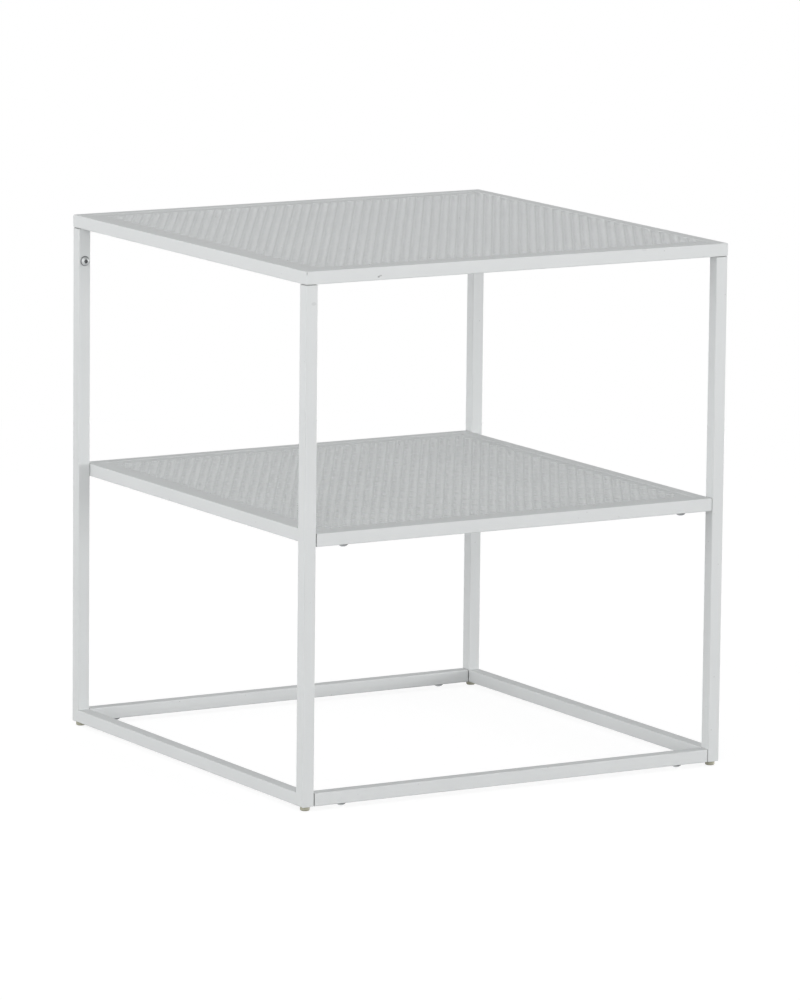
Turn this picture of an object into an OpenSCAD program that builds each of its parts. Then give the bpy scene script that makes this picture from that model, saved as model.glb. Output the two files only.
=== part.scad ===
// Square side table of thin steel tube, with a perforated top and a perforated lower shelf.
// The origin is on the floor at the middle of the table. X runs left to right, Y front to back.

/* [Overall size] */
// Width of the table, left to right
table_w = 500; // [350:1:700]
// Depth of the table, front to back
table_d = 500; // [350:1:700]
// Height of the top's upper face above the floor
table_h = 550; // [420:1:750]
// Height of the shelf's upper face above the floor
shelf_h = 284; // [120:1:340]

/* [Steel tube] */
// Outer side of the square tube
tube = 13.5; // [12:0.5:20]
// Wall thickness of the tube
tube_wall = 1.2; // [0.8:0.1:1.6]
// Outer corner radius of the tube
tube_round = 1; // [0.4:0.1:1.5]

/* [Perforated sheets] */
// Thickness of both sheets
sheet_t = 1.5; // [0.8:0.1:3]
// How far a sheet lies below the top of its frame
sheet_drop = 0.5; // [0:0.1:3]
// Diameter of the round holes
hole_d = 8; // [4:0.5:9]
// Distance between the centres of neighbouring holes in a row
hole_pitch = 10.8; // [10:0.1:20]
// Distance between the rows of holes, which are staggered by half a pitch
row_pitch = 8.9; // [8:0.1:20]
// Least width of the plain edge round the holes
plain_edge = 9; // [4:1:60]

/* [Screwed joints] */
// Length of each solid spigot
spigot_l = 50; // [40:1:70]
// Play between a spigot and the tube's inside, on each side
spigot_play = 0.3; // [0.1:0.1:0.5]
// Seam left between each leg and the top frame
seam = 0.6; // [0.1:0.1:1]
// Seam left between each leg and a screwed rail
end_seam = 0.9; // [0.1:0.1:1.5]
// Distance from each joint to its screw
screw_reach = 35; // [12:1:36]

/* [Screws] */
// Diameter of the screw's shank
screw_d = 6; // [4:0.5:6.5]
// Length of the shank under the head
screw_l = 10; // [6:1:11]
// Diameter of the button head
head_d = 10.5; // [9:0.5:11.5]
// Height of the button head
head_h = 3.3; // [2.4:0.1:4]
// Height of the head's straight rim
head_rim = 0.6; // [0.2:0.1:1]
// Width across the flats of the hex socket
socket_af = 4; // [2:0.5:5]
// Depth of the hex socket
socket_depth = 2; // [1:0.1:2.2]
// Clearance round a screw in the tube's wall, on each side
screw_clear = 0.3; // [0.1:0.1:0.6]
// Fit of the screw in the spigot's tapped hole, on each side
thread_fit = 0.05; // [0.02:0.01:0.1]

/* [Feet] */
// Diameter of a foot's pad
foot_d = 10; // [9:0.5:13]
// Height of a foot's pad, which lifts the steel off the floor
foot_h = 4.5; // [4.1:0.1:15]
// Radius of the pad's lower edge
foot_round = 1.5; // [0.5:0.1:3]
// Diameter of the stem pressed into the tube
stem_d = 6; // [4:0.5:7]
// Length of the stem above the pad
stem_l = 6; // [4:0.5:8]
// How far the stem's snap bead stands out
bead_out = 0.5; // [0.2:0.1:0.8]
// Height of the snap bead
bead_h = 1; // [0.5:0.1:1.5]
// Fit of the stem in its hole, on each side
stem_fit = 0.1; // [0.05:0.05:0.3]

/* [Hidden] */
$fn = 48;

// The two sides of each horizontal axis
left = -1;
right = 1;
front = -1;
back = 1;

// Half sizes, and the places of the leg axes
half_w = table_w / 2;
half_d = table_d / 2;
axis_x = half_w - tube / 2;
axis_y = half_d - tube / 2;
// Clear distances between the legs
inner_w = table_w - 2 * tube;
inner_d = table_d - 2 * tube;
// Undersides of the base rails, the shelf frame and the top frame
base_z = foot_h;
shelf_z = shelf_h - tube;
frame_z = table_h - tube;
// Upper end of the legs
leg_top = frame_z - seam;
// Side of the solid square spigot
spigot = tube - 2 * tube_wall - 2 * spigot_play;
// Holes in the steel
screw_hole = screw_d + 2 * screw_clear;
tapped_hole = screw_d + 2 * thread_fit;
stem_hole = stem_d + 2 * stem_fit;
// Radius of the button head's dome, from its rim to its top
dome_h = head_h - head_rim;
dome_r = (dome_h * dome_h + head_d * head_d / 4) / (2 * dome_h);
// The holes are drawn this many times larger and further apart than in the real sheet,
// which keeps its open share and its weight with fewer holes
coarse = 2;
drawn_hole = hole_d * coarse;
drawn_pitch = hole_pitch * coarse;
drawn_row_pitch = row_pitch * coarse;
// Extra length of a cut past the face that it opens
past = 1;
// How far the stem's bead lies above the wall that it grips
bead_gap = 0.1;

powder = [0.84, 0.85, 0.85];
zinc = [0.72, 0.73, 0.74];
plastic = [0.66, 0.65, 0.57];

// Every corner piece is drawn at the front left and mirrored to its own corner
module at_side(x_side, y_side) {
    mirror([x_side == right ? 1 : 0, 0, 0])
        mirror([0, y_side == back ? 1 : 0, 0])
            children();
}

// Cross-section of the tube, centred on its axis
module tube_section() {
    flat = tube - 2 * tube_round;
    difference() {
        union() {
            square([tube, flat], center = true);
            square([flat, tube], center = true);
            for (x = [-1, 1])
                for (y = [-1, 1])
                    translate([x * flat / 2, y * flat / 2])
                        circle(r = tube_round);
        }
        square(tube - 2 * tube_wall, center = true);
    }
}

// Tubes along X and along Y, centred on their axis and on their length
module tube_along_x(length) {
    rotate([90, 0, 90])
        linear_extrude(length, center = true)
            tube_section();
}

module tube_along_y(length) {
    rotate([90, 0, 0])
        linear_extrude(length, center = true)
            tube_section();
}

// An outline drawn in Y and Z, as thick as the tube, in the plane of the left legs
module left_plane(outline) {
    translate([-half_w, 0, 0])
        rotate([90, 0, 90])
            linear_extrude(tube)
                polygon(outline);
}

// An outline drawn in X and Y, as thick as the tube, at the height of the top frame
module top_plane(outline) {
    translate([0, 0, frame_z])
        linear_extrude(tube)
            polygon(outline);
}

// Leg: open at the top, mitred at the bottom, with a screw hole in the face towards the other leg
module leg(x_side, y_side) {
    color(powder)
        at_side(x_side, y_side)
            difference() {
                intersection() {
                    translate([-axis_x, -axis_y, base_z])
                        linear_extrude(leg_top - base_z)
                            tube_section();
                    left_plane([
                        [-half_d, base_z],
                        [-half_d + tube, base_z + tube],
                        [-half_d + tube, leg_top],
                        [-half_d, leg_top]
                    ]);
                }
                translate([-axis_x, -axis_y, frame_z - screw_reach])
                    rotate([-90, 0, 0])
                        cylinder(h = tube, d = screw_hole);
            }
}

// Base rail of a side frame: mitred to both legs, with a hole for the stem of each foot
module base_side_rail(x_side) {
    color(powder)
        at_side(x_side, front)
            difference() {
                intersection() {
                    translate([-axis_x, 0, base_z + tube / 2])
                        tube_along_y(table_d);
                    left_plane([
                        [-half_d, base_z],
                        [half_d, base_z],
                        [half_d - tube, base_z + tube],
                        [-half_d + tube, base_z + tube]
                    ]);
                }
                for (y = [-axis_y, axis_y])
                    translate([-axis_x, y, base_z - past])
                        cylinder(h = tube_wall + 2 * past, d = stem_hole);
            }
}

// Rail between two legs, with open ends and a screw hole from below at each end
module cross_rail(y_side, z) {
    color(powder)
        difference() {
            translate([0, y_side * axis_y, z + tube / 2])
                tube_along_x(inner_w - 2 * end_seam);
            for (x_side = [left, right])
                translate([x_side * (inner_w / 2 - screw_reach), y_side * axis_y, z - past])
                    cylinder(h = tube_wall + 2 * past, d = screw_hole);
        }
}

// Side rail of the shelf, welded between its front and back rails
module shelf_side_rail(x_side) {
    color(powder)
        translate([x_side * (inner_w - tube) / 2, 0, shelf_z + tube / 2])
            tube_along_y(inner_d);
}

// Front or back rail of the top frame, mitred at both ends
module top_cross_rail(y_side) {
    color(powder)
        at_side(left, y_side)
            intersection() {
                translate([0, -axis_y, frame_z + tube / 2])
                    tube_along_x(table_w);
                top_plane([
                    [-half_w, -half_d],
                    [half_w, -half_d],
                    [half_w - tube, -half_d + tube],
                    [-half_w + tube, -half_d + tube]
                ]);
            }
}

// Left or right rail of the top frame, mitred at both ends
module top_side_rail(x_side) {
    color(powder)
        at_side(x_side, front)
            intersection() {
                translate([-axis_x, 0, frame_z + tube / 2])
                    tube_along_y(table_d);
                top_plane([
                    [-half_w, -half_d],
                    [-half_w + tube, -half_d + tube],
                    [-half_w + tube, half_d - tube],
                    [-half_w, half_d]
                ]);
            }
}

// Perforated sheet with staggered rows of round holes, its upper face at z
module sheet(width, depth, z) {
    columns = floor((width - 2 * plain_edge - drawn_hole) / drawn_pitch) + 1;
    rows = floor((depth - 2 * plain_edge - drawn_hole) / drawn_row_pitch) + 1;
    color(powder)
        translate([0, 0, z - sheet_t])
            linear_extrude(sheet_t)
                difference() {
                    square([width, depth], center = true);
                    for (row = [0 : rows - 1])
                        for (column = [0 : columns - 1 - row % 2])
                            translate([
                                (column - (columns - 1 - row % 2) / 2) * drawn_pitch,
                                (row - (rows - 1) / 2) * drawn_row_pitch
                            ])
                                circle(d = drawn_hole);
                }
}

// Spigot under the top frame: it bears on the wall of the leg that its screw goes through
module top_spigot(x_side, y_side) {
    color(powder)
        at_side(x_side, y_side)
            translate([-axis_x, -axis_y + spigot_play, frame_z])
                difference() {
                    translate([-spigot / 2, -spigot / 2, -spigot_l])
                        cube([spigot, spigot, spigot_l]);
                    translate([0, -spigot / 2 - past, -screw_reach])
                        rotate([-90, 0, 0])
                            cylinder(h = spigot + 2 * past, d = tapped_hole);
                }
}

// Spigot on a leg: it bears on the lower wall of the rail that its screw goes through
module leg_spigot(x_side, y_side, z) {
    color(powder)
        at_side(x_side, y_side)
            translate([-inner_w / 2, -axis_y, z + tube / 2 - spigot_play])
                difference() {
                    translate([0, -spigot / 2, -spigot / 2])
                        cube([spigot_l, spigot, spigot]);
                    translate([screw_reach, 0, -spigot / 2 - past])
                        cylinder(h = spigot + 2 * past, d = tapped_hole);
                }
}

// Round glide: a pad with a rounded lower edge and a stem with a snap bead
module foot(x_side, y_side) {
    color(plastic)
        at_side(x_side, y_side)
            translate([-axis_x, -axis_y, 0])
                rotate_extrude() {
                    square([foot_d / 2 - foot_round, foot_h]);
                    translate([0, foot_round])
                        square([foot_d / 2, foot_h - foot_round]);
                    translate([foot_d / 2 - foot_round, foot_round])
                        intersection() {
                            circle(r = foot_round);
                            translate([0, -foot_round])
                                square(foot_round);
                        }
                    square([stem_d / 2, foot_h + stem_l]);
                    translate([0, foot_h + tube_wall + bead_gap])
                        square([stem_d / 2 + bead_out, bead_h]);
                }
}

// Button-head screw with a hex socket: its head stands on z = 0 and its shank points down
module screw() {
    difference() {
        union() {
            intersection() {
                cylinder(h = head_h, d = head_d);
                translate([0, 0, head_h - dome_r])
                    sphere(r = dome_r);
            }
            translate([0, 0, -screw_l])
                cylinder(h = screw_l + past, d = screw_d);
        }
        translate([0, 0, head_h - socket_depth])
            cylinder(h = socket_depth + past, d = socket_af / cos(30), $fn = 6);
    }
}

// The four screws of the top, each in the inner face of a leg
module top_screws() {
    color(zinc)
        for (x_side = [left, right])
            for (y_side = [front, back])
                at_side(x_side, y_side)
                    translate([-axis_x, -half_d + tube, frame_z - screw_reach])
                        rotate([-90, 0, 0])
                            screw();
}

// The four screws under a pair of rails
module rail_screws(z) {
    color(zinc)
        for (x_side = [left, right])
            for (y_side = [front, back])
                at_side(x_side, y_side)
                    translate([-inner_w / 2 + screw_reach, -axis_y, z])
                        rotate([180, 0, 0])
                            screw();
}

leg(left, front);  // leg_front_left
leg(right, front);  // leg_front_right
leg(left, back);  // leg_back_left
leg(right, back);  // leg_back_right
base_side_rail(left);  // base_left_rail
base_side_rail(right);  // base_right_rail
cross_rail(front, base_z);  // base_front_rail
cross_rail(back, base_z);  // base_back_rail
top_cross_rail(front);  // top_front_rail
top_cross_rail(back);  // top_back_rail
top_side_rail(left);  // top_left_rail
top_side_rail(right);  // top_right_rail
sheet(inner_w, inner_d, table_h - sheet_drop);  // top_panel
cross_rail(front, shelf_z);  // shelf_front_rail
cross_rail(back, shelf_z);  // shelf_back_rail
shelf_side_rail(left);  // shelf_left_rail
shelf_side_rail(right);  // shelf_right_rail
sheet(inner_w - 2 * tube, inner_d, shelf_h - sheet_drop);  // shelf_panel
top_spigot(left, front);  // top_spigot_front_left
top_spigot(right, front);  // top_spigot_front_right
top_spigot(left, back);  // top_spigot_back_left
top_spigot(right, back);  // top_spigot_back_right
leg_spigot(left, front, shelf_z);  // shelf_spigot_front_left
leg_spigot(right, front, shelf_z);  // shelf_spigot_front_right
leg_spigot(left, back, shelf_z);  // shelf_spigot_back_left
leg_spigot(right, back, shelf_z);  // shelf_spigot_back_right
leg_spigot(left, front, base_z);  // base_spigot_front_left
leg_spigot(right, front, base_z);  // base_spigot_front_right
leg_spigot(left, back, base_z);  // base_spigot_back_left
leg_spigot(right, back, base_z);  // base_spigot_back_right
foot(left, front);  // foot_front_left
foot(right, front);  // foot_front_right
foot(left, back);  // foot_back_left
foot(right, back);  // foot_back_right
top_screws();
rail_screws(shelf_z);  // shelf_screws
rail_screws(base_z);  // base_screws
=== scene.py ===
"""The looks of a square side table of powder-coated steel tube with two perforated sheets.

Everything is in metres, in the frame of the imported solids: X to the right, Y to the back, Z up.
"""

import math

import bmesh
import bpy
from mathutils import Matrix, Vector


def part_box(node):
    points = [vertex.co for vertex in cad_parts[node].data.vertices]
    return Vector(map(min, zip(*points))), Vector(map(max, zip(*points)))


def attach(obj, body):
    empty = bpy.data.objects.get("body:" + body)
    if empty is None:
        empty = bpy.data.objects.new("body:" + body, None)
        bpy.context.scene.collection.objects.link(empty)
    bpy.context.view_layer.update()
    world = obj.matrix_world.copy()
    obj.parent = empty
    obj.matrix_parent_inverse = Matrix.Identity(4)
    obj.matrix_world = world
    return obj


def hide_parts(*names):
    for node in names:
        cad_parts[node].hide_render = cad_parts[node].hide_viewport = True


MM = 0.001

# The table, as its solids are built
TUBE = 13.5 * MM
FOOT_HEIGHT = 4.5 * MM
# Axes of the screws: distance from the middle, and height of those in the legs
SCREW_ROW = 243.25 * MM
RAIL_SCREW_X = 201.5 * MM
TOP_SCREW_Z = 501.5 * MM
# Where the sockets of the screws start, along the screws' own axes
LEG_SOCKET = 233.6 * MM
SHELF_SOCKET = 267.6 * MM
BASE_SOCKET = 1.6 * MM
# The seams: sides of the legs where the rails end, and the upper ends of the legs
JOINT_FACE = 236.5 * MM
END_SEAM = 0.9 * MM
LEG_TOP = 535.9 * MM
TOP_SEAM = 0.6 * MM
SHELF_BOTTOM = 270.5 * MM
# How far beside its place a face still counts as in a seam
SKIN = 0.03 * MM

# The perforated sheets, whose rows lie along X. The top's pattern is nearer to the right rail
HOLE = 8 * MM
PITCH = 10.8 * MM
ROW_STEP = 8.9 * MM
HOLE_CORNERS = 16
ROWS = 50
TOP_COLUMNS = 43
TOP_SHIFT = PITCH / 2
SHELF_COLUMNS = 40
# Points nearer to each other than this are one
SAME_PLACE = 0.01 * MM
# Faces that meet at a smaller angle than this are shaded as one
SMOOTH_ANGLE = math.radians(40)

# The floor: its paint, the glow over it that shows it white, and the glow's share
FLOOR_REACH = 14.0
FLOOR_CORNERS = 96
FLOOR_PAINT = (0.62, 0.62, 0.62, 1)
FLOOR_GLOW = 1.37
GLOW_SHARE = 0.62
# Distances from the table's middle between which the floor turns plain white to the camera
PLAIN_FLOOR = (0.8, 2.2)
# Heights over the horizon, as sines, where its light ends and where the sky's light begins
HORIZON_ENDS = (0.08, 0.16)
SKY_BEGINS = (0.25, 0.55)
DAYLIGHT = (0.988, 0.989, 0.993, 1)
WHITE = (1, 1, 1, 1)


# Shader nodes

class Wire:
    """The output of a node, on which Python's own operators add Math nodes."""

    def __init__(self, finish, output):
        self.finish = finish
        self.output = output

    def maths(self, operation, first, second):
        return self.finish.node("Math", {"operation": operation}, {0: first, 1: second})

    def __add__(self, other):
        return self.maths("ADD", self, other)

    def __sub__(self, other):
        return self.maths("SUBTRACT", self, other)

    def __rsub__(self, other):
        return self.maths("SUBTRACT", other, self)

    def __mul__(self, other):
        return self.maths("MULTIPLY", self, other)

    def __gt__(self, other):
        return self.maths("GREATER_THAN", self, other)

    def __lt__(self, other):
        return self.maths("LESS_THAN", self, other)

    __radd__ = __add__
    __rmul__ = __mul__


class Finish:
    """One procedural material."""

    def __init__(self, name):
        self.material = bpy.data.materials.new(name)
        self.material.use_nodes = True
        self.tree = self.material.node_tree
        self.tree.nodes.clear()

    def node(self, kind, settings, sockets, output=0):
        """Adds a node, sets it up, fills its sockets, and gives one of its outputs."""
        made = self.tree.nodes.new("ShaderNode" + kind)
        for name, value in settings.items():
            setattr(made, name, value)
        for socket, value in sockets.items():
            if isinstance(value, Wire):
                self.tree.links.new(value.output, made.inputs[socket])
            else:
                made.inputs[socket].default_value = value
        return Wire(self, made.outputs[output]) if made.outputs else None

    def place(self):
        """The point of the surface, in metres in the table's frame."""
        return self.node("TexCoord", {}, {}, "Object")

    def noise(self, size, detail=2.0):
        """Soft random values round 0.5, in patches of about this size in metres."""
        return self.node(
            "TexNoise", {}, {"Vector": self.place(), "Scale": 1 / size, "Detail": detail}
        )

    def step(self, value, low, high):
        """0 below low, 1 above high, smooth between."""
        return self.node(
            "MapRange", {"interpolation_type": "SMOOTHSTEP"}, {0: value, 1: low, 2: high}
        )

    def mix(self, share, first, second):
        """From the first colour at 0 to the second at 1."""
        return self.node("Mix", {"data_type": "RGBA"}, {0: share, 6: first, 7: second}, 2)

    def patch(self, centre, reach):
        """1 at the centre of an ellipsoid and 0 outside it."""
        away = self.node(
            "VectorMath", {"operation": "SUBTRACT"}, {0: self.place(), 1: centre}
        )
        share = self.node("VectorMath", {"operation": "DIVIDE"}, {0: away, 1: reach})
        length = self.node("VectorMath", {"operation": "LENGTH"}, {0: share}, "Value")
        return 1 - self.step(length, 0.55, 1.0)

    def surface(self, **sockets):
        """The shader itself, joined to the material's output."""
        named = {name.replace("_", " ").title().replace("Ior", "IOR"): value
                 for name, value in sockets.items()}
        shader = self.node("BsdfPrincipled", {}, named)
        self.node("OutputMaterial", {}, {"Surface": shader})
        return self.material


def within(value, low, high):
    """1 where the value lies between two numbers, and 0 elsewhere."""
    return (value > low) * (value < high)


def tone(red, green, blue):
    """A colour as it is seen on a screen, from 0 to 255, as the shader's linear one."""
    linear = []
    for part in (red, green, blue):
        share = part / 255
        linear.append(share / 12.92 if share <= 0.04045 else ((share + 0.055) / 1.055) ** 2.4)
    return (*linear, 1.0)


# Finishes

# The coat's two shades, and its tones in the grain's pits, the specks and the marks, and in the
# seams, where bare steel and painted shade darken it
COAT_SHADES = tone(214, 216, 216), tone(219, 221, 221)
COAT_PITS = tone(200, 203, 204)
COAT_SPECKS = tone(140, 140, 136)
COAT_MARKS = tone(96, 97, 97)
COAT_SEAM_SHADE_AND_STEEL = tone(158, 159, 159)
# Specular level: the coat shows hardly any reflection
COAT_GLOSS = 0.03
# Sizes of the coat's clouds, grain, orange peel and patches of duller coat, and the specks' step
COAT_CLOUDS = 90 * MM
COAT_GRAIN = 1.6 * MM
COAT_PEEL = (0.9 * MM, 3.5 * MM)
COAT_DULLING = 25 * MM
COAT_SPECK_STEP = 14 * MM
# How dark the painted shade and bare steel in the seams at the rails' ends are, against those under
# the top
RAIL_END_SHARE = 0.7

ZINC_CLOUDS = 2.5 * MM
ZINC_SCRATCHES = 0.35 * MM
ZINC_SHADES = tone(186, 189, 192), tone(212, 213, 212)
# Tones of the painted contact shadow and dark reflection on the heads' rims, and of the painted
# shade in the sockets
ZINC_RIM_SHADE = tone(92, 94, 96)
ZINC_SOCKET_SHADE = tone(122, 124, 125)
# Radii between which a screw's socket ends and its rim begins, and how soon the socket's painted
# shade sets in
SOCKET_EDGE = (2.1 * MM, 2.5 * MM)
RIM_EDGE = (4.2 * MM, 4.9 * MM)
SOCKET_SHADE = 0.3 * MM

PLASTIC_GRAIN = 0.5 * MM
PLASTIC_SHADES = tone(160, 158, 140), tone(176, 174, 156)
PLASTIC_WORN = tone(120, 117, 102)
# Heights between which the wear from the floor ends
WORN_ENDS = (0.2 * MM, 1.6 * MM)

# Small blemishes in the coat: centre, reach along X, Y and Z, and depth of the tone
BLEMISHES = (
    ((-0.1668, -0.25, 0.5401), (0.0016, 0.0010, 0.0012), 0.60),
    ((-0.1646, -0.25, 0.5411), (0.0020, 0.0010, 0.0010), 0.40),
    ((-0.2494, -0.25, 0.5480), (0.0010, 0.0010, 0.0022), 0.35),
    ((0.1479, -0.25, 0.5490), (0.0040, 0.0010, 0.0012), 0.14),
    ((-0.2412, -0.25, 0.5172), (0.0034, 0.0010, 0.0022), 0.14),
)


def seam_shade_and_bare_steel(finish):
    """Painted shade and bare steel in the seams: 1 on the faces that meet in the seams under the
    top, less at the rails' ends, 0 elsewhere.
    """
    sides = finish.node("VectorMath", {"operation": "ABSOLUTE"}, {0: finish.place()})
    x, y, z = (finish.node("SeparateXYZ", {}, {0: sides}, k) for k in range(3))
    legs_to_top = (x > JOINT_FACE - SKIN) * within(z, LEG_TOP - SKIN, LEG_TOP + TOP_SEAM + SKIN)
    heights = (within(z, low - SKIN, low + TUBE + SKIN) for low in (FOOT_HEIGHT, SHELF_BOTTOM))
    rail_ends = within(x, JOINT_FACE - END_SEAM - SKIN, JOINT_FACE + SKIN) * sum(heights)
    return (y > JOINT_FACE - SKIN) * (legs_to_top + rail_ends * RAIL_END_SHARE)


def powder_coat(name, blemishes=()):
    """Cool white-grey powder coat: orange peel, clouding, dark specks, and thin over darker bare
    steel in the joints, with painted shade there too.
    """
    finish = Finish(name)
    clouds = finish.noise(COAT_CLOUDS)
    grain = finish.noise(COAT_GRAIN, 3.0)
    colour = finish.mix(clouds, *COAT_SHADES)
    colour = finish.mix(finish.step(grain, 0.62, 0.85) * 0.5, colour, COAT_PITS)
    specks = finish.node(
        "TexVoronoi", {"feature": "F1"}, {"Vector": finish.place(), "Scale": 1 / COAT_SPECK_STEP}
    )
    colour = finish.mix((1 - finish.step(specks, 0.02, 0.05)) * 0.5, colour, COAT_SPECKS)
    for centre, reach, depth in blemishes:
        colour = finish.mix(finish.patch(centre, reach) * depth, colour, COAT_MARKS)
    # Painted shade in the seams between parts, on top of the darker bare steel where the coat is
    # thin
    colour = finish.mix(seam_shade_and_bare_steel(finish), colour, COAT_SEAM_SHADE_AND_STEEL)
    fine, broad = (finish.noise(size, 1.0) for size in COAT_PEEL)
    peel = fine + broad * 1.5
    normal = finish.node(
        "Bump", {}, {"Strength": 0.35, "Distance": 0.03 * MM, "Height": peel}
    )
    return finish.surface(
        base_color=colour,
        roughness=0.74 + finish.noise(COAT_DULLING) * 0.12,
        specular_ior_level=COAT_GLOSS,
        normal=normal,
    )


def zinc_plate(name, axis, across, socket_from):
    """Bright zinc on screws along one axis, with painted shade in the socket and a painted contact
    shadow and dark reflection on the rim.

    across holds the place of a screw's own axis along the other two axes, and socket_from where
    the socket starts along it. Both leave out the sign, so that they hold for all four screws.
    """
    finish = Finish(name)
    sides = finish.node("VectorMath", {"operation": "ABSOLUTE"}, {0: finish.place()})
    along = tuple(0.0 if k == axis else 1.0 for k in range(3))
    centre = list(across)
    centre.insert(axis, 0.0)
    flat = finish.node("VectorMath", {"operation": "MULTIPLY"}, {0: sides, 1: along})
    radius = finish.node("VectorMath", {"operation": "DISTANCE"}, {0: flat, 1: centre}, "Value")
    reach = finish.node("SeparateXYZ", {}, {0: sides}, axis)
    # Painted shade in the sunk socket, and a painted contact shadow and dark reflection on the
    # head's rim
    sunk = finish.step(reach, socket_from, socket_from + SOCKET_SHADE)
    socket = (1 - finish.step(radius, *SOCKET_EDGE)) * sunk
    rim = finish.step(radius, *RIM_EDGE)
    clouds = finish.noise(ZINC_CLOUDS)
    colour = finish.mix(clouds, *ZINC_SHADES)
    colour = finish.mix(rim * 0.85, colour, ZINC_RIM_SHADE)
    colour = finish.mix(socket, colour, ZINC_SOCKET_SHADE)
    scratches = finish.noise(ZINC_SCRATCHES, 3.0)
    normal = finish.node(
        "Bump", {}, {"Strength": 0.4, "Distance": 0.02 * MM, "Height": scratches}
    )
    return finish.surface(
        base_color=colour,
        metallic=1.0,
        roughness=0.42 + scratches * 0.2,
        normal=normal,
    )


def moulded_plastic(name):
    """Beige moulded plastic with a fine matt grain, darker where it has rubbed the floor."""
    finish = Finish(name)
    grain = finish.noise(PLASTIC_GRAIN, 3.0)
    height = finish.node("SeparateXYZ", {}, {0: finish.place()}, 2)
    colour = finish.mix(grain, *PLASTIC_SHADES)
    worn = 1 - finish.step(height, *WORN_ENDS)
    colour = finish.mix(worn * 0.5, colour, PLASTIC_WORN)
    normal = finish.node(
        "Bump", {}, {"Strength": 0.3, "Distance": 0.03 * MM, "Height": grain}
    )
    return finish.surface(
        base_color=colour, roughness=0.48 + grain * 0.14, normal=normal
    )


# Modelling

def start_piece(name):
    """Takes the object just added as a new piece, in edit mode."""
    piece = bpy.context.object
    piece.name = name
    piece.data.name = name
    bpy.ops.object.mode_set(mode="EDIT")
    return piece


def alone(piece):
    """Selects one piece and makes it the active one."""
    bpy.ops.object.select_all(action="DESELECT")
    piece.select_set(True)
    bpy.context.view_layer.objects.active = piece


def select_rim(piece, axis, value):
    """Selects the open edges of the mesh in edit mode that lie at one place along an axis."""
    bpy.ops.mesh.select_mode(type="EDGE")
    bpy.ops.mesh.select_all(action="DESELECT")
    mesh = bmesh.from_edit_mesh(piece.data)
    for edge in mesh.edges:
        there = all(abs(v.co[axis] - value) < SAME_PLACE for v in edge.verts)
        edge.select_set(edge.is_boundary and there)
    bmesh.update_edit_mesh(piece.data)


def widen(piece, axis, rim, target):
    """Draws the open edges at rim out to target, along an axis, or moves them in to it."""
    select_rim(piece, axis, rim)
    shift = [0.0, 0.0, 0.0]
    shift[axis] = target - rim
    if abs(target) > abs(rim):
        bpy.ops.mesh.extrude_region_move(TRANSFORM_OT_translate={"value": shift})
    else:
        bpy.ops.transform.translate(value=shift)


def repeat(piece, count, step):
    """Repeats a piece along a line and merges the copies where they touch."""
    array = piece.modifiers.new("repeat", "ARRAY")
    array.count = count
    array.use_relative_offset = False
    array.use_constant_offset = True
    array.constant_offset_displace = step
    array.use_merge_vertices = True
    array.merge_threshold = SAME_PLACE
    alone(piece)
    bpy.ops.object.modifier_apply(modifier=array.name)


def put_at_origin(piece):
    """Writes a piece's place, turn and scale into its mesh."""
    alone(piece)
    bpy.ops.object.transform_apply(location=True, rotation=True, scale=True)


def row_of_holes(name, count, place):
    """One straight row of cells, each a small flat oblong with a round hole."""
    bpy.ops.object.select_all(action="DESELECT")
    x = place[0] - (count - 1) / 2 * PITCH
    middle = (x, place[1], place[2])
    bpy.ops.mesh.primitive_circle_add(vertices=HOLE_CORNERS, radius=HOLE / 2, location=middle)
    row = start_piece(name)
    bpy.ops.mesh.primitive_plane_add(size=1, location=middle)
    bpy.ops.transform.resize(value=(PITCH, ROW_STEP, 1), center_override=middle)
    bpy.ops.mesh.delete(type="ONLY_FACE")
    mesh = bmesh.from_edit_mesh(row.data)
    for edge in mesh.edges:
        edge.select_set(edge.calc_length() > HOLE / 2)
    bmesh.update_edit_mesh(row.data)
    bpy.ops.mesh.subdivide(number_cuts=1)
    bpy.ops.mesh.select_all(action="SELECT")
    bpy.ops.mesh.bridge_edge_loops()
    bpy.ops.object.mode_set(mode="OBJECT")
    put_at_origin(row)
    repeat(row, count, (PITCH, 0, 0))
    return row


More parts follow.
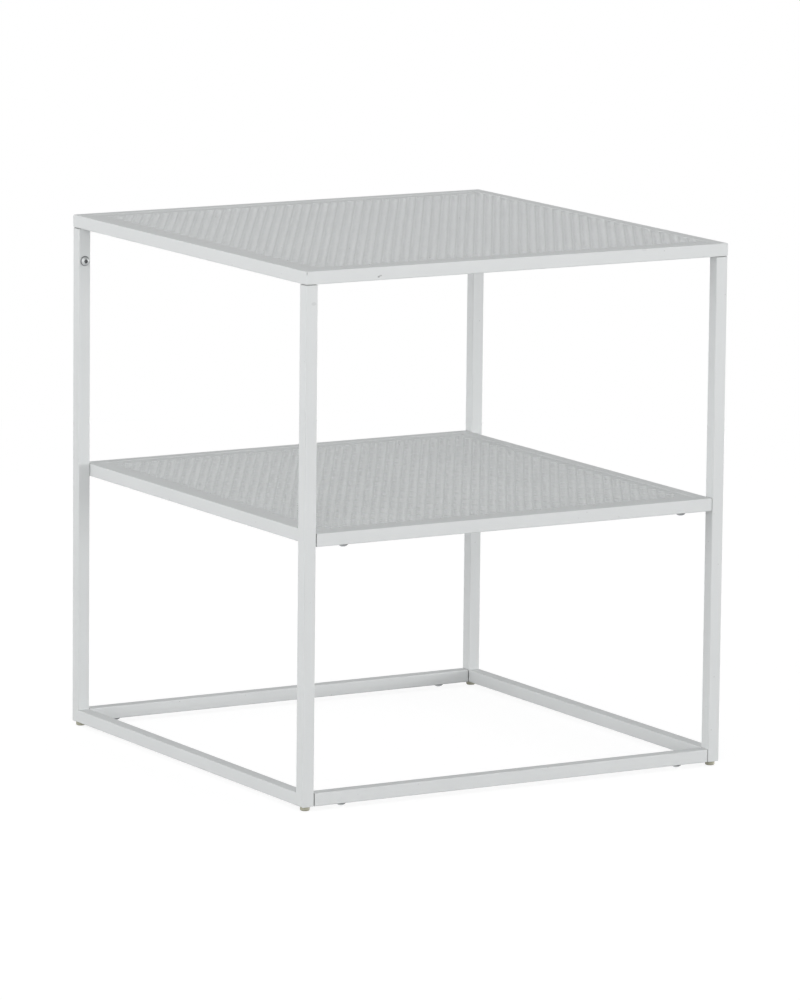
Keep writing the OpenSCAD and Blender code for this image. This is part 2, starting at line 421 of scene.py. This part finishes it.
def perforated_sheet(name, node, columns, middle=0.0):
    """A flat sheet with staggered rows of round holes and a plain margin, in place of a solid.

    middle is the X of the middle of the pattern.
    """
    low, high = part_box(node)
    first_row = -(ROWS - 1) / 2 * ROW_STEP
    sheet = row_of_holes(name, columns, (middle, first_row + ROW_STEP, high.z))
    shifted = row_of_holes("shifted_row", columns - 1, (middle, first_row, high.z))
    alone(shifted)
    bpy.ops.object.mode_set(mode="EDIT")
    for side in (-1, 1):
        rim = middle + side * columns / 2 * PITCH
        widen(shifted, 0, rim - side * PITCH / 2, rim)
    bpy.ops.object.mode_set(mode="OBJECT")
    for part in (sheet, shifted):
        repeat(part, ROWS // 2, (0, 2 * ROW_STEP, 0))
    alone(sheet)
    shifted.select_set(True)
    bpy.ops.object.join()
    bpy.ops.object.mode_set(mode="EDIT")
    bpy.ops.mesh.select_all(action="SELECT")
    bpy.ops.mesh.remove_doubles(threshold=SAME_PLACE)
    for side, edge in ((-1, low), (1, high)):
        widen(sheet, 0, middle + side * columns / 2 * PITCH, edge.x)
    for side, edge in ((-1, low), (1, high)):
        widen(sheet, 1, side * ROWS / 2 * ROW_STEP, edge.y)
    bpy.ops.object.mode_set(mode="OBJECT")
    wall = sheet.modifiers.new("thickness", "SOLIDIFY")
    wall.thickness = high.z - low.z
    wall.offset = 0
    alone(sheet)
    bpy.ops.object.modifier_apply(modifier=wall.name)
    bpy.ops.object.mode_set(mode="EDIT")
    bpy.ops.mesh.select_all(action="SELECT")
    bpy.ops.transform.translate(value=(0, 0, (low.z - high.z) / 2))
    bpy.ops.mesh.normals_make_consistent(inside=False)
    bpy.ops.object.mode_set(mode="OBJECT")
    bpy.ops.object.shade_smooth_by_angle(angle=SMOOTH_ANGLE)
    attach(sheet, "root")
    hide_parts(node)
    return sheet


def dress(piece, material):
    """Gives a piece this material alone."""
    piece.data.materials.clear()
    piece.data.materials.append(material)


# Studio

def aim_at(thing, target):
    """Turns a lamp so that it shines on a point."""
    away = Vector(target) - thing.location
    thing.rotation_euler = away.to_track_quat("-Z", "Y").to_euler()


def softbox(name, place, size, power, target=(0, 0, 0.3)):
    """A rectangular lamp that shines on a point, by default the middle of the table."""
    bpy.ops.object.light_add(type="AREA", location=place)
    lamp = bpy.context.object
    lamp.name = name
    lamp.data.shape = "RECTANGLE"
    lamp.data.size, lamp.data.size_y = size
    lamp.data.energy = power
    aim_at(lamp, target)


def seen_rays(finish):
    """1 for rays that show the surroundings to the camera, straight or in a reflection."""
    ways = [finish.node("LightPath", {}, {}, ray)
            for ray in ("Is Camera Ray", "Is Glossy Ray", "Is Transmission Ray")]
    return finish.node("Math", {"operation": "MINIMUM"}, {0: ways[0] + ways[1] + ways[2], 1: 1.0})


def studio_floor():
    """A wide pale floor, white to the camera, that keeps the table's shadow round its feet."""
    bpy.ops.object.select_all(action="DESELECT")
    bpy.ops.mesh.primitive_circle_add(
        vertices=FLOOR_CORNERS, radius=FLOOR_REACH, fill_type="NGON"
    )
    floor = bpy.context.object
    floor.name = "floor"
    finish = Finish("pale_floor")
    paint = finish.node("BsdfDiffuse", {}, {"Color": FLOOR_PAINT})
    glow = finish.node("Emission", {}, {"Color": WHITE, "Strength": FLOOR_GLOW})
    white = finish.node("Emission", {}, {"Color": WHITE, "Strength": 1.0})
    away = finish.node("VectorMath", {"operation": "LENGTH"}, {0: finish.place()}, "Value")
    near = finish.node("MixShader", {}, {0: GLOW_SHARE, 1: paint, 2: glow})
    seen = finish.node("MixShader", {}, {0: finish.step(away, *PLAIN_FLOOR), 1: near, 2: white})
    shown = finish.node("MixShader", {}, {0: seen_rays(finish), 1: paint, 2: seen})
    finish.node("OutputMaterial", {}, {"Surface": shown})
    dress(floor, finish.material)


class World(Finish):
    """The world's own nodes."""

    def __init__(self, name):
        world = bpy.data.worlds.new(name)
        bpy.context.scene.world = world
        world.use_nodes = True
        self.tree = world.node_tree
        self.tree.nodes.clear()


def studio_world(horizon, belt, sky):
    """White to the camera. The table is lit from the horizon, the belt above it and the sky."""
    world = World("studio")
    share = seen_rays(world)
    height = world.node("SeparateXYZ", {}, {0: world.node("TexCoord", {}, {}, "Generated")}, 2)
    low, high = world.step(height, *HORIZON_ENDS), world.step(height, *SKY_BEGINS)
    level = horizon * (1 - low) + belt * (low - high) + sky * high
    light = world.node("Background", {}, {"Color": DAYLIGHT, "Strength": level})
    white = world.node("Background", {}, {"Color": WHITE, "Strength": 1.0})
    shown = world.node("MixShader", {}, {0: share, 1: light, 2: white})
    world.node("OutputWorld", {}, {"Surface": shown})


def place_camera():
    """The photograph's own view: long lens, low over the table top, turned to its left."""
    azimuth, elevation, roll = (math.radians(a) for a in (30.42, 9.655, 0.591))
    aim, distance = Vector((0.0044, -0.0050, 0.2628)), 7.2076
    forward = Vector((
        math.sin(azimuth) * math.cos(elevation),
        math.cos(azimuth) * math.cos(elevation),
        -math.sin(elevation),
    ))
    level = forward.cross(Vector((0, 0, 1))).normalized()
    upright = level.cross(forward)
    right = level * math.cos(roll) + upright * math.sin(roll)
    up = right.cross(forward)
    bpy.ops.object.camera_add()
    camera = bpy.context.object
    camera.data.lens = 246.82
    camera.data.sensor_width = 36
    camera.data.clip_end = 100
    turn = Matrix((right, up, -forward)).transposed().to_4x4()
    camera.matrix_world = Matrix.Translation(aim - forward * distance) @ turn
    bpy.context.scene.camera = camera


# The table

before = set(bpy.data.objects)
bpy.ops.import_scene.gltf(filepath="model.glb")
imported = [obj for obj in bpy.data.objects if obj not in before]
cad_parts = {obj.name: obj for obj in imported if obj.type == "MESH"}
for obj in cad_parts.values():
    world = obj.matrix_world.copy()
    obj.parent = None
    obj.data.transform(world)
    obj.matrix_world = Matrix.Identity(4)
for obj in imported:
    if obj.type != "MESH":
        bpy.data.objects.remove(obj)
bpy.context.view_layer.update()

place_camera()
studio_world(horizon=2.67, belt=1.25, sky=0.42)
studio_floor()
softbox("left_box", place=(-8.16, 0.0, 4.10), size=(4.0, 4.0), power=129)
softbox("corner_box", place=(-5.14, -6.85, 3.08), size=(4.0, 4.0), power=97)
softbox("right_box", place=(8.4, -2.65, 0.9), size=(4.0, 1.6), power=317)

coat = powder_coat("powder_coat")
front_coat = powder_coat("powder_coat_with_marks", blemishes=BLEMISHES)
screws = {
    "top_screws": zinc_plate("zinc_screws_in_legs", 1, (SCREW_ROW, TOP_SCREW_Z), LEG_SOCKET),
    "shelf_screws": zinc_plate(
        "zinc_screws_under_shelf", 2, (RAIL_SCREW_X, SCREW_ROW), SHELF_SOCKET
    ),
    "base_screws": zinc_plate(
        "zinc_screws_under_base", 2, (RAIL_SCREW_X, SCREW_ROW), BASE_SOCKET
    ),
}
plastic = moulded_plastic("beige_plastic")

for node_name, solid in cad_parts.items():
    if node_name in screws:
        dress(solid, screws[node_name])
    elif node_name.startswith("foot"):
        dress(solid, plastic)
    elif node_name in ("top_front_rail", "leg_front_left"):
        dress(solid, front_coat)
    else:
        dress(solid, coat)

top_sheet = perforated_sheet("top_sheet", "top_panel", TOP_COLUMNS, TOP_SHIFT)
shelf_sheet = perforated_sheet("shelf_sheet", "shelf_panel", SHELF_COLUMNS)
for sheet in (top_sheet, shelf_sheet):
    dress(sheet, coat)

bpy.context.scene.view_settings.view_transform = "Standard"
